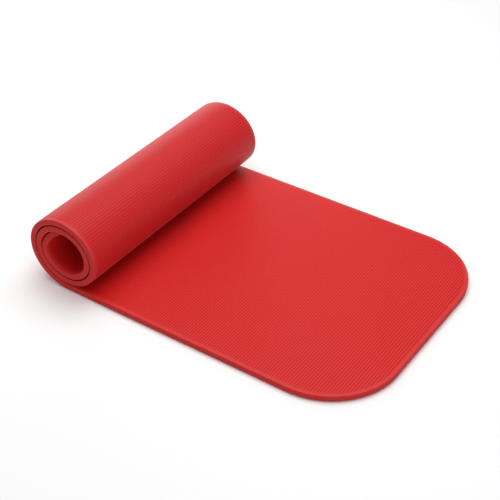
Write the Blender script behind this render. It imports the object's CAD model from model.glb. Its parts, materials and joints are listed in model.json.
"""A roll-up exercise mat: one thick sheet of red foam with round corners and fine ribs across its width,
partly unrolled on a pale floor.

The sheet is built in its own coordinates, along (metres from the line where it leaves the floor, growing
into the roll), across (metres from its middle) and depth (metres from the middle of its thickness), and is
then wrapped round the section that the record's hinges describe. It is cut into one closed piece per hinge,
from the middle of one strip to the middle of the next, and each piece bends with its hinge.
"""

import json
import math

import bmesh
import bpy
import numpy as np
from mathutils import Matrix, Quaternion, Vector

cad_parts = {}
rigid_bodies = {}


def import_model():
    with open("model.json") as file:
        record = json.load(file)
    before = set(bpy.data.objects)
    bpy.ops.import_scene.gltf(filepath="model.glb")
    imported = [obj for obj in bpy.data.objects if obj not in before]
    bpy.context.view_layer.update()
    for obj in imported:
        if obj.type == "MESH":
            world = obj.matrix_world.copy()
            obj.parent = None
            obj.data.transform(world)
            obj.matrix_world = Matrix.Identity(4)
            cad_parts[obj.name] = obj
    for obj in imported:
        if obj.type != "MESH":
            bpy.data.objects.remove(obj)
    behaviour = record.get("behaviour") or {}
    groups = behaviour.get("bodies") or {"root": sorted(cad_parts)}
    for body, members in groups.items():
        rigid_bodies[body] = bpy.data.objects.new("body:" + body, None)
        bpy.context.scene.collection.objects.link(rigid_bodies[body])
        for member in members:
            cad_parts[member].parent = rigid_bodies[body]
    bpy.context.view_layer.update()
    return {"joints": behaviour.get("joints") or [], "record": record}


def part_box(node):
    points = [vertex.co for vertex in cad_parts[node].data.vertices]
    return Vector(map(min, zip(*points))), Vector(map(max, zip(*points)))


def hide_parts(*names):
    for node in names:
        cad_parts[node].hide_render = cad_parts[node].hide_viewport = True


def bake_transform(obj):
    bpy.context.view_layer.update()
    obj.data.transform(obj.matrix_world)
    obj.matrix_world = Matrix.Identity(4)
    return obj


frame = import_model()

# ---------------------------------------------------------------- sizes read from the frame
record = frame["record"]
joints = {j["name"]: j for j in frame["joints"]}
ratios = {c["joint"]: c["ratio"] for c in record["behaviour"]["couplings"]}
unroll_names = sorted(n for n in joints if n.startswith("unroll_"))
curl_names = sorted(n for n in joints if n.startswith("curl_"))
roll_count = len(unroll_names)
flat_count = len(curl_names) + 1

first_flat = joints[unroll_names[0]]["parent"]
last_flat = joints[curl_names[-1]]["child"]
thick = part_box(first_flat)[1].z
half_thick = thick / 2
half_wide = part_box(first_flat)[1].y
take_off_x = joints[unroll_names[0]]["pos_m"][0]
free_end_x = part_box(last_flat)[1].x
flat_long = free_end_x - take_off_x
flat_step = flat_long / flat_count

# the corner's radius, from how far the end strip has narrowed at its inner side
end_low, end_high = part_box(last_flat)
reach, narrowed = end_high.x - end_low.x, half_wide - end_high.y
corner = reach + narrowed + math.sqrt(2 * reach * narrowed)


# ---------------------------------------------------------------- the rolled section
def roll_section():
    """Each roll strip's start point, start angle, turn and radius, from the hinges' places and ranges."""
    first = math.radians(joints[unroll_names[0]]["range_deg"][1])
    opening = [first * ratios.get(n, 1.0) for n in unroll_names]
    seams = [np.array([joints[n]["pos_m"][0], joints[n]["pos_m"][2]]) for n in unroll_names]
    strips, angle, middle = [], 0.0, 0.0
    for k, seam in enumerate(seams):
        middle += opening[k]
        turn = 2 * (middle - angle)
        if k + 1 < roll_count:
            radius = np.linalg.norm(seams[k + 1] - seam) / (2 * math.sin(turn / 2))
            long = radius * turn
        else:
            radius = long / turn
        strips.append((seam, angle, turn, radius))
        angle += turn
    return strips, long


strips, roll_step = roll_section()
roll_long = roll_step * roll_count


def section(along):
    """Middle of the thickness, as x, z and tangent angle, at distances along the sheet."""
    along = np.asarray(along, float)
    x = take_off_x - along
    z = np.full_like(along, half_thick)
    angle = np.zeros_like(along)
    which = np.clip((along / roll_step).astype(int), 0, roll_count - 1)
    for k, (seam, start, turn, radius) in enumerate(strips):
        here = (along > 0) & (which == k)
        a = start + (along[here] - k * roll_step) / radius
        centre = seam + radius * np.array([math.sin(start), math.cos(start)])
        x[here] = centre[0] - radius * np.sin(a)
        z[here] = centre[1] - radius * np.cos(a)
        angle[here] = a
    return x, z, angle


# ---------------------------------------------------------------- the sheet's own shape
# the ribs have nearly the same pitch in the roll and on the floor, with a whole number to each strip
roll_rib = roll_step / 4
flat_rib = flat_step / 12
RIB_DEPTH = 0.0003
# rows of points along one rib's pitch
RIB_CUTS = 4
# an edge is sharp from this share of the groove's depth, and where the ribs have faded in this far
DEEP_SHARE = 0.98
SHARP_FROM = 0.3
# the radius of the rounded edge, where the ribs fade in past the plain border, and how far that border dips
EDGE_ROUND = 0.0030
PLAIN_MARGIN = (0.006, 0.011)
MARGIN_DROP = 0.0006
# how far each face gives way where the foam is rolled up, and the length over which that begins
SQUEEZE = 0.0005
squeeze_start = 2 * roll_step
# distances inside the edge of the points that shape the edge and the border
round_angles = np.radians([0, 22.5, 45, 67.5, 90])
round_insets = EDGE_ROUND * (1 - np.cos(round_angles))
ring_depths = np.concatenate([round_insets, PLAIN_MARGIN])
# quads across a face, between its two borders
INNER_COLUMNS = 22
# how finely the corners are cut near the sheet's two ends, how far that goes, and the least row spacing
CORNER_ARC = np.radians(3)
END_ZONE = 0.03
LEAST_ROW = 0.0003
# a distance that counts as nothing
TINY = 1e-6


def smooth(t):
    """0 to 1 with a soft start and end."""
    t = np.clip(t, 0, 1)
    return t * t * (3 - 2 * t)


def rib_count(along):
    """Number of ribs between the line where the sheet leaves the floor and a distance along it."""
    return np.where(np.asarray(along) > 0, along / roll_rib, along / flat_rib)


def rows_between(low, high):
    """Row positions from low to high: rib crests and grooves, and finer rows at the sheet's two ends."""
    first, last = rib_count(low), rib_count(high)
    count = int(round((last - first) * RIB_CUTS))
    phases = first + (last - first) * np.arange(count + 1) / count
    rows = list(np.where(phases > 0, phases * roll_rib, phases * flat_rib))
    rows[0], rows[-1] = low, high
    for end, inward in ((roll_long, -1), (-flat_long, 1)):
        if low <= end + TINY and end - TINY <= high:
            steps = np.arange(0, math.pi / 2, CORNER_ARC)
            insets = np.concatenate([round_insets, corner * (1 - np.cos(steps))])
            extra = [end + inward * e for e in insets if e < END_ZONE and low < end + inward * e < high]
            kept = [r for r in rows if r in (low, high) or min(abs(r - e) for e in extra) > LEAST_ROW]
            rows = kept + extra
    return np.array(sorted(set(np.round(rows, 7))))


def across_at(from_end, depth):
    """Half the width of the outline at a depth inside the edge, and that depth, which an end limits."""
    inside = np.minimum(depth, from_end)
    arc = np.sqrt(np.maximum((corner - inside) ** 2 - (corner - np.minimum(from_end, corner)) ** 2, 0))
    return np.where(from_end < corner, half_wide - corner + arc, half_wide - inside), inside


def outline_columns(rows):
    """Distance across the sheet, and inside its edge, of every column of the upper face in every row."""
    from_end = np.minimum(roll_long - rows, rows + flat_long)
    rings = [across_at(from_end, depth) for depth in ring_depths]
    inner_half, inner_depth = rings[-1][0], np.minimum(from_end, ring_depths[-1])
    fractions = np.linspace(-1, 1, INNER_COLUMNS + 1)[1:-1]
    columns = [(-half, depth) for half, depth in rings]
    columns += [(f * inner_half, inner_depth) for f in fractions]
    columns += reversed(rings)
    across = np.array([half for half, depth in columns]).T
    inside = np.array([depth for half, depth in columns]).T
    return across, inside


def closed_faces(n_rows, n_top):
    """Quads of a tube whose rows are closed loops, with a face over each of its two ends."""
    loop = 2 * n_top
    faces = []
    for r in range(n_rows - 1):
        for c in range(loop):
            d = (c + 1) % loop
            faces.append((r * loop + c, r * loop + d, (r + 1) * loop + d, (r + 1) * loop + c))
    for first, flip in ((0, False), ((n_rows - 1) * loop, True)):
        for c in range(n_top - 1):
            quad = (first + c, first + loop - 1 - c, first + loop - 2 - c, first + c + 1)
            faces.append(quad[::-1] if flip else quad)
    return faces


def shade(mesh, loop, groove, ribbed):
    """Smooth shading, with the bottoms of the grooves and the two cut ends kept sharp."""
    mesh.polygons.foreach_set("use_smooth", np.ones(len(mesh.polygons), bool))
    edges = np.zeros(len(mesh.edges) * 2, int)
    mesh.edges.foreach_get("vertices", edges)
    row, column = np.divmod(edges[0::2], loop)
    next_row, next_column = np.divmod(edges[1::2], loop)
    same_row = row == next_row
    cut = same_row & ((row == 0) | (row == len(groove) - 1))
    deep = (groove > RIB_DEPTH * DEEP_SHARE)[row]
    both_ribbed = np.minimum(ribbed[row, column], ribbed[next_row, next_column]) > SHARP_FROM
    sharp = mesh.attributes.new("sharp_edge", "BOOLEAN", "EDGE")
    sharp.data.foreach_set("value", cut | (same_row & deep & both_ribbed))


def merge_same_points(mesh):
    """Joins points that lie in one place, as the rows at the sheet's two ends have, and drops empty faces."""
    work = bmesh.new()
    work.from_mesh(mesh)
    bmesh.ops.remove_doubles(work, verts=work.verts, dist=TINY)
    work.to_mesh(mesh)
    work.free()


def bend_with_hinge(piece, joint):
    """Every point of one cross-section turns by the same share of the hinge's angle."""
    seam = Vector(joint["pos_m"])
    if joint["name"] in unroll_names:
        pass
    else:
        seam.z = half_thick
    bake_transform(piece)


def sheet_piece(name, joint, low, high, stands_for):
    """A closed piece of the sheet between two distances along it, bending with one hinge."""
    rows = rows_between(low, high)
    across, inside = outline_columns(rows)
    n_rows, n_top = across.shape
    loop = 2 * n_top

    # height of the upper face above the middle of the thickness
    sideways = np.clip(EDGE_ROUND - inside, 0, EDGE_ROUND)
    drop = EDGE_ROUND - np.sqrt(EDGE_ROUND**2 - sideways**2)
    fade = smooth((inside - PLAIN_MARGIN[0]) / (PLAIN_MARGIN[1] - PLAIN_MARGIN[0]))
    groove = RIB_DEPTH * (1 - np.abs(np.sin(math.pi * rib_count(rows))))
    surface = half_thick - drop - groove[:, None] * fade
    surface -= MARGIN_DROP * (1 - fade) * smooth(inside / EDGE_ROUND)
    surface -= SQUEEZE * smooth(rows / squeeze_start)[:, None]

    # one closed loop per row: the upper face from one side to the other, then the underside back
    y = np.concatenate([across, across[:, ::-1]], axis=1)
    n = np.concatenate([surface, -surface[:, ::-1]], axis=1)
    ribbed = np.concatenate([fade, fade[:, ::-1]], axis=1)
    wall = np.concatenate([inside, inside[:, ::-1]], axis=1) < TINY
    x, z, angle = section(rows)
    x = x[:, None] + n * np.sin(angle)[:, None]
    z = z[:, None] + n * np.cos(angle)[:, None]
    points = np.stack([x, y, z], axis=-1).reshape(-1, 3)
    mesh = bpy.data.meshes.new(name)
    mesh.from_pydata(points.tolist(), [], closed_faces(n_rows, n_top))
    mesh.validate()

    # sheet coordinates for the materials, which stay with the foam however it bends
    along = np.repeat(rows[:, None], loop, axis=1)
    sheet = mesh.attributes.new("sheet", "FLOAT_VECTOR", "POINT")
    sheet.data.foreach_set("vector", np.stack([along, y, n], axis=-1).astype(np.float32).ravel())
    for label, values in (("rim", wall), ("ribbed", ribbed)):
        made = mesh.attributes.new(label, "FLOAT", "POINT")
        made.data.foreach_set("value", values.astype(np.float32).ravel())
    shade(mesh, loop, groove, ribbed)
    merge_same_points(mesh)

    piece = bpy.data.objects.new(name, mesh)
    bpy.context.scene.collection.objects.link(piece)
    bend_with_hinge(piece, joint)
    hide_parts(*stands_for)
    mesh.materials.append(foam)


# ---------------------------------------------------------------- the foam's looks
def node(tree, kind, **values):
    """A new shader node with its inputs, or its own settings, set by name."""
    made = tree.nodes.new(kind)
    for key, value in values.items():
        if key in made.inputs:
            made.inputs[key].default_value = value
        else:
            setattr(made, key, value)
    return made


def calc(tree, operation, a, b=0.0, c=0.0, clamp=False):
    """The output of a Math node whose inputs are numbers or other outputs."""
    made = tree.nodes.new("ShaderNodeMath")
    made.operation = operation
    made.use_clamp = clamp
    for i, value in enumerate((a, b, c)):
        if isinstance(value, (int, float)):
            made.inputs[i].default_value = value
        else:
            tree.links.new(value, made.inputs[i])
    return made.outputs[0]


def mix(tree, amount, a, b):
    """The colour between a and b at an amount from 0 to 1."""
    made = tree.nodes.new("ShaderNodeMix")
    made.data_type = "RGBA"
    for socket, value in ((made.inputs[0], amount), (made.inputs[6], a), (made.inputs[7], b)):
        if isinstance(value, (int, float)):
            socket.default_value = value
        elif isinstance(value, (tuple, list)):
            socket.default_value = (*value, 1.0)
        else:
            tree.links.new(value, socket)
    return made.outputs[2]


def attribute(tree, label):
    """A node that reads one of the mesh's own attributes."""
    made = tree.nodes.new("ShaderNodeAttribute")
    made.attribute_name = label
    return made


# the foam's colours, and how strongly each is laid over the ones before it
RED, DUSTY = (0.62, 0.010, 0.010), (0.64, 0.018, 0.018)
CREST, CREST_COVER = (0.68, 0.024, 0.024), 0.55
GROOVE, GROOVE_COVER = (0.50, 0.004, 0.004), 0.8
UNDERSIDE, UNDERSIDE_COVER = (0.50, 0.018, 0.020), 0.75
CUT = (0.50, 0.018, 0.015)
WORN, WORN_COVER = (0.70, 0.09, 0.09), 0.40
SHEEN_TINT = (1.0, 0.85, 0.95, 1.0)
# scale and offset with which the cross grooves vary the crests, and the clouds and the grain the colours
CROSS_SPREAD, CLOUD_SPREAD, GRAIN_SPREAD = (0.7, 0.5), (1.6, -0.3), (0.5, -0.1)
# how shiny the foam is, and the share of that which its grooves lose
SHINE, GROOVE_LOSS = 0.26, 0.8
ROUGHNESS, GRAIN_ROUGHNESS, CUT_ROUGHNESS = 0.40, 0.14, 0.25
SHEEN, UNDERSIDE_SHEEN, SHEEN_ROUGHNESS = 0.08, 0.12, 0.22
# the rubbed line on the rounded edge: how far below the face and how wide, as shares of the edge's radius,
# and how strongly the clouds break it up
WORN_PLACE, WORN_WIDTH, WORN_CLOUD = 0.3, 0.25, 1.4
# how fine the skin's grain, its soft clouds and its foam cells are, per metre
GRAIN_SCALE, CLOUD_SCALE, CELL_SCALE = 900.0, 7.0, 700.0
# the bump's height in metres and its strength, and its parts from the cells, the grain and the cross grooves
BUMP_HEIGHT, BUMP_STRENGTH = 0.00012, 0.5
CELL_BUMP, GRAIN_BUMP, CROSS_BUMP = 0.4, 0.5, 0.8


def foam_material():
    """Red closed-cell foam with light rib crests, a duller underside, cut walls and rubbed edges."""
    material = bpy.data.materials.new("foam")
    material.use_nodes = True
    t = material.node_tree
    shader = t.nodes["Principled BSDF"]
    sheet, rim, ribbed = (attribute(t, label) for label in ("sheet", "rim", "ribbed"))
    rim, ribbed = rim.outputs["Fac"], ribbed.outputs["Fac"]
    split = t.nodes.new("ShaderNodeSeparateXYZ")
    t.links.new(sheet.outputs["Vector"], split.inputs[0])
    along, across, depth = split.outputs

    # the ribs' crests and grooves, and much fainter grooves the other way
    in_roll = calc(t, "GREATER_THAN", along, 0.0)
    per_metre = calc(t, "MULTIPLY_ADD", in_roll, 1 / roll_rib - 1 / flat_rib, 1 / flat_rib)
    wave = calc(t, "SINE", calc(t, "MULTIPLY", calc(t, "MULTIPLY", along, per_metre), math.pi))
    crest = calc(t, "ABSOLUTE", wave)
    cross = calc(t, "ABSOLUTE", calc(t, "SINE", calc(t, "MULTIPLY", across, math.pi / roll_rib)))
    groove = calc(t, "MULTIPLY", calc(t, "SUBTRACT", 1.0, crest), ribbed)
    high = calc(t, "MULTIPLY", calc(t, "POWER", crest, 2.0), ribbed)
    high = calc(t, "MULTIPLY", high, calc(t, "MULTIPLY_ADD", cross, *CROSS_SPREAD))

    # skin grain, large soft clouds and foam cells
    grain = node(t, "ShaderNodeTexNoise", Scale=GRAIN_SCALE, Detail=3.0, Roughness=0.6)
    cloud = node(t, "ShaderNodeTexNoise", Scale=CLOUD_SCALE, Detail=4.0, Roughness=0.55)
    cells = node(t, "ShaderNodeTexVoronoi", Scale=CELL_SCALE)
    for texture in (grain, cloud, cells):
        t.links.new(sheet.outputs["Vector"], texture.inputs["Vector"])
    grain, cloud, cells = grain.outputs["Fac"], cloud.outputs["Fac"], cells.outputs["Distance"]

    # a light line where the rounded edge has been rubbed
    level = half_thick - WORN_PLACE * EDGE_ROUND
    off_line = calc(t, "ABSOLUTE", calc(t, "SUBTRACT", calc(t, "ABSOLUTE", depth), level))
    worn = calc(t, "SUBTRACT", 1.0, calc(t, "DIVIDE", off_line, WORN_WIDTH * EDGE_ROUND), clamp=True)
    worn = calc(t, "MULTIPLY", worn, calc(t, "SUBTRACT", 1.0, ribbed))
    worn = calc(t, "MULTIPLY", worn, calc(t, "MULTIPLY", cloud, WORN_CLOUD, clamp=True))

    under = calc(t, "LESS_THAN", depth, 0.0)
    colour = mix(t, calc(t, "MULTIPLY_ADD", cloud, *CLOUD_SPREAD, clamp=True), RED, DUSTY)
    colour = mix(t, calc(t, "MULTIPLY", high, CREST_COVER), colour, CREST)
    colour = mix(t, calc(t, "MULTIPLY", groove, GROOVE_COVER), colour, GROOVE)
    colour = mix(t, calc(t, "MULTIPLY", under, UNDERSIDE_COVER), colour, UNDERSIDE)
    colour = mix(t, calc(t, "MULTIPLY_ADD", grain, *GRAIN_SPREAD, clamp=True), colour, RED)
    colour = mix(t, rim, colour, CUT)
    colour = mix(t, calc(t, "MULTIPLY", worn, WORN_COVER), colour, WORN)
    t.links.new(colour, shader.inputs["Base Color"])

    rough = calc(t, "MULTIPLY_ADD", grain, GRAIN_ROUGHNESS, ROUGHNESS)
    rough = calc(t, "MULTIPLY_ADD", rim, CUT_ROUGHNESS, rough)
    t.links.new(rough, shader.inputs["Roughness"])
    shine = calc(t, "MULTIPLY_ADD", groove, -SHINE * GROOVE_LOSS, SHINE)
    t.links.new(shine, shader.inputs["Specular IOR Level"])
    sheen = calc(t, "MULTIPLY_ADD", under, UNDERSIDE_SHEEN, SHEEN)
    t.links.new(sheen, shader.inputs["Sheen Weight"])
    shader.inputs["Sheen Roughness"].default_value = SHEEN_ROUGHNESS
    shader.inputs["Sheen Tint"].default_value = SHEEN_TINT

    skin = calc(t, "MULTIPLY_ADD", cells, CELL_BUMP, calc(t, "MULTIPLY", grain, GRAIN_BUMP))
    height = calc(t, "MULTIPLY_ADD", calc(t, "MULTIPLY", cross, ribbed), CROSS_BUMP, skin)
    bump = node(t, "ShaderNodeBump", Strength=BUMP_STRENGTH, Distance=BUMP_HEIGHT)
    t.links.new(height, bump.inputs["Height"])
    t.links.new(bump.outputs[0], shader.inputs["Normal"])
    return material


foam = foam_material()


# ---------------------------------------------------------------- the pieces, from the free end inwards
def middle_of_flat(k):
    """Distance along the sheet of the middle of a flat strip."""
    return -(k + 0.5) * flat_step


for k, name in reversed(list(enumerate(curl_names))):
    joint = joints[name]
    low = -flat_long if k == flat_count - 2 else middle_of_flat(k + 1)
    sheet_piece("sheet_" + name, joint, low, middle_of_flat(k), [joint["child"]])
for k, name in enumerate(unroll_names):
    joint = joints[name]
    low = middle_of_flat(0) if k == 0 else (k - 0.5) * roll_step
    high = roll_long if k == roll_count - 1 else (k + 0.5) * roll_step
    stands_for = [joint["child"]] + ([joint["parent"]] if k == 0 else [])
    sheet_piece("sheet_" + name, joint, low, high, stands_for)

# ---------------------------------------------------------------- floor, light and camera
FLOOR_HALF = 12.0
FLOOR_DROP = 0.0008
FLOOR_COLOUR, FLOOR_ROUGHNESS, FLOOR_SHINE = (0.97, 0.97, 0.97, 1), 0.9, 0.1
# distances from the origin over which the floor turns into backdrop
MERGE = (0.9, 2.0)
# how bright the backdrop looks, and how much light the studio's walls give
BACKDROP = 0.95
STUDIO = 0.40


def camera_ray(tree):
    """1 for what the camera sees directly, and 0 for light on its way round the studio."""
    return tree.nodes.new("ShaderNodeLightPath").outputs["Is Camera Ray"]


def pale_floor():
    """A matt white floor which, as the camera sees it, runs into the white backdrop away from the mat."""
    material = bpy.data.materials.new("pale_floor")
    material.use_nodes = True
    t = material.node_tree
    shader = t.nodes["Principled BSDF"]
    shader.inputs["Base Color"].default_value = FLOOR_COLOUR
    shader.inputs["Roughness"].default_value = FLOOR_ROUGHNESS
    shader.inputs["Specular IOR Level"].default_value = FLOOR_SHINE
    away = node(t, "ShaderNodeVectorMath", operation="LENGTH")
    t.links.new(t.nodes.new("ShaderNodeNewGeometry").outputs["Position"], away.inputs[0])
    far = node(t, "ShaderNodeMapRange", interpolation_type="SMOOTHSTEP")
    far.inputs["From Min"].default_value, far.inputs["From Max"].default_value = MERGE
    t.links.new(away.outputs["Value"], far.inputs["Value"])
    glow = node(t, "ShaderNodeEmission", Strength=BACKDROP)
    blend = t.nodes.new("ShaderNodeMixShader")
    t.links.new(calc(t, "MULTIPLY", far.outputs[0], camera_ray(t)), blend.inputs[0])
    t.links.new(shader.outputs[0], blend.inputs[1])
    t.links.new(glow.outputs[0], blend.inputs[2])
    t.links.new(blend.outputs[0], t.nodes["Material Output"].inputs["Surface"])
    return material


floor_corners = [(-1, -1), (1, -1), (1, 1), (-1, 1)]
floor_mesh = bpy.data.meshes.new("floor")
floor_mesh.from_pydata(
    [(sx * FLOOR_HALF, sy * FLOOR_HALF, -FLOOR_DROP) for sx, sy in floor_corners], [], [(0, 1, 2, 3)]
)
floor_mesh.materials.append(pale_floor())
floor = bpy.data.objects.new("floor", floor_mesh)
bpy.context.scene.collection.objects.link(floor)

world = bpy.data.worlds.new("studio")
world.use_nodes = True
sky = world.node_tree.nodes["Background"]
sky.inputs["Color"].default_value = (1, 1, 1, 1)
brightness = calc(world.node_tree, "MULTIPLY_ADD", camera_ray(world.node_tree), BACKDROP - STUDIO, STUDIO)
world.node_tree.links.new(brightness, sky.inputs["Strength"])
bpy.context.scene.world = world


def soft_box(name, place, aim, size, power):
    """A rectangular lamp at a place, turned towards a point, with its size in metres and power in watts."""
    data = bpy.data.lights.new(name, "AREA")
    data.shape = "RECTANGLE"
    data.size, data.size_y = size
    data.energy = power
    light = bpy.data.objects.new(name, data)
    light.location = place
    light.rotation_mode = "QUATERNION"
    light.rotation_quaternion = (Vector(aim) - Vector(place)).to_track_quat("-Z", "Y")
    bpy.context.scene.collection.objects.link(light)


soft_box("overhead", (0.0, 0.3, 2.4), (0.15, 0.0, 0.0), (2.4, 2.4), 52)
soft_box("behind", (-1.5, 1.7, 0.55), (0.0, 0.1, 0.15), (2.2, 0.9), 14)
soft_box("side", (2.5, -1.3, 0.7), (0.3, 0.0, 0.0), (1.6, 0.8), 8)


def look_from(azimuth, elevation, tilt, distance, target, lens):
    """The camera, seeing a target from a direction: azimuth 0 looks along +Y, and angles are in degrees."""
    azimuth, elevation, tilt = (math.radians(angle) for angle in (azimuth, elevation, tilt))
    level = math.cos(elevation)
    back = Vector((math.sin(azimuth) * level, -math.cos(azimuth) * level, math.sin(elevation)))
    data = bpy.data.cameras.new("camera")
    data.sensor_width = 36.0
    data.lens = lens
    data.clip_end = 50.0
    camera = bpy.data.objects.new("camera", data)
    camera.location = Vector(target) + back * distance
    camera.rotation_mode = "QUATERNION"
    camera.rotation_quaternion = (-back).to_track_quat("-Z", "Y") @ Quaternion((0, 0, 1), tilt)
    bpy.context.scene.collection.objects.link(camera)
    bpy.context.scene.camera = camera


look_from(
    azimuth=34.081,
    elevation=36.925,
    tilt=0.283,
    distance=2.6331,
    target=(0.2064, 0.0407, 0.0),
    lens=84.036,
)
bpy.context.scene.view_settings.view_transform = "Standard"
